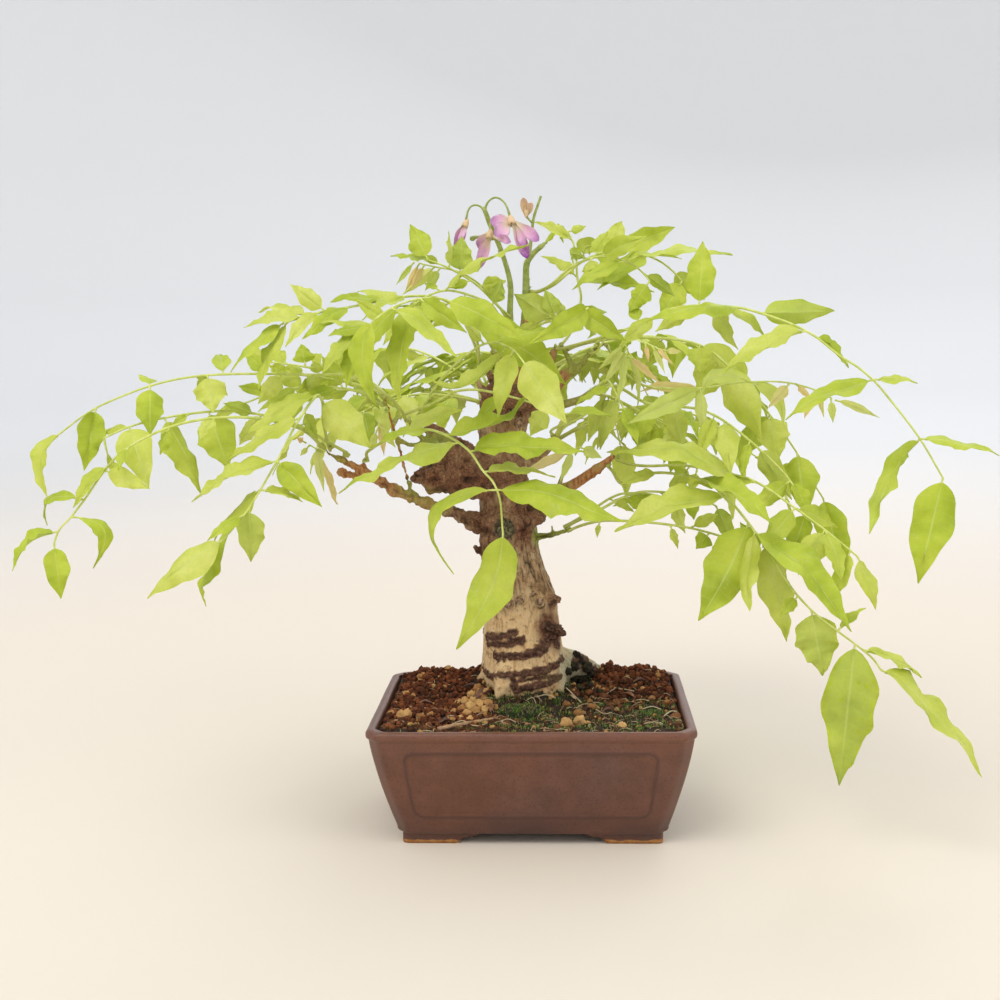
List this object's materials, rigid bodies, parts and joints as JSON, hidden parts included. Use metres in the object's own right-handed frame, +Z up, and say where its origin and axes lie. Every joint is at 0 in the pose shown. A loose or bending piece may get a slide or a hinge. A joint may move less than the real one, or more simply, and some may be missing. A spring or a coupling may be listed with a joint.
{
  "type": "wisteria bonsai in pot",
  "caption": "Japanese wisteria bonsai with a stout trunk and long arching compound leaves, rooted in a glazed rectangular pot on corner feet.",
  "frame": {"origin": "centre of the whole object's plan box, on the surface that the pot's feet stand on", "axes": "+X to the right along the pot's long side, +Y away from the viewer, +Z up"},
  "size_m": [0.4996, 0.3242, 0.3463],
  "materials": {
    "glaze": "brown-purple satin glaze on stoneware, mottled, greyer on the rim, with bare orange clay under the feet",
    "soil": "red-brown baked clay grains of 2.5 to 3 mm, moist",
    "net": "black moulded drainage net",
    "bark": "flaky bark, light tan at the foot and greyer and redder above",
    "leaf": "thin lime green leaflets, silky, with a paler midrib",
    "young_leaf": "young peach-tinted leaflets",
    "flower_stalk": "green flower stalks",
    "lilac_petal": "lilac petals with purple tips",
    "peach_petal": "peach-coloured opening bud",
    "moss": "short cushion moss",
    "pumice": "tan pumice and hard clay pebbles",
    "dry_leaf": "weathered fallen twig"
  },
  "bodies": {
    "root": {"bloom_high": "lilac_petal", "bloom_low": "lilac_petal", "bud_left": "lilac_petal", "bud_peach": "peach_petal", "drain_net_left": "net", "drain_net_right": "net", "fallen_twig": "dry_leaf", "frond_back_left_deep": "leaf", "frond_back_left_far": "leaf", "frond_back_left_near": "leaf", "frond_back_low_deep": "leaf", "frond_back_middle": "leaf", "frond_back_right_deep": "leaf", "frond_back_right_far": "leaf", "frond_back_right_near": "leaf", "frond_centre_front": "leaf", "frond_centre_right": "leaf", "frond_centre_sweep": "leaf", "frond_crown_front": "leaf", "frond_crown_front_sweep": "leaf", "frond_crown_left_up": "leaf", "frond_crown_left_young": "young_leaf", "frond_far_left_high": "leaf", "frond_far_left_low": "leaf", "frond_far_left_mid": "leaf", "frond_front_high": "leaf", "frond_left_front": "leaf", "frond_left_high": "leaf", "frond_left_inner": "leaf", "frond_left_inner_low": "leaf", "frond_left_riser_young": "young_leaf", "frond_left_spur_young": "young_leaf", "frond_right_dark": "leaf", "frond_right_drape_back": "leaf", "frond_right_drape_mid": "leaf", "frond_right_low_sweep": "leaf", "frond_right_low_thin": "leaf", "frond_right_low_under": "leaf", "frond_right_pale": "leaf", "frond_right_reach": "leaf", "frond_right_shade": "leaf", "frond_right_spur_young": "young_leaf", "frond_right_young_cluster": "young_leaf", "frond_right_young_front": "young_leaf", "frond_right_young_high": "young_leaf", "frond_top_right": "leaf", "frond_top_riser": "leaf", "moss_front": "moss", "moss_right": "moss", "pebble_bank": "pumice", "pebble_left": "pumice", "pebble_right": "pumice", "pot": "glaze", "raceme_left": "flower_stalk", "raceme_right": "flower_stalk", "soil": "soil", "wood": "bark"}
  },
  "joints": []
}
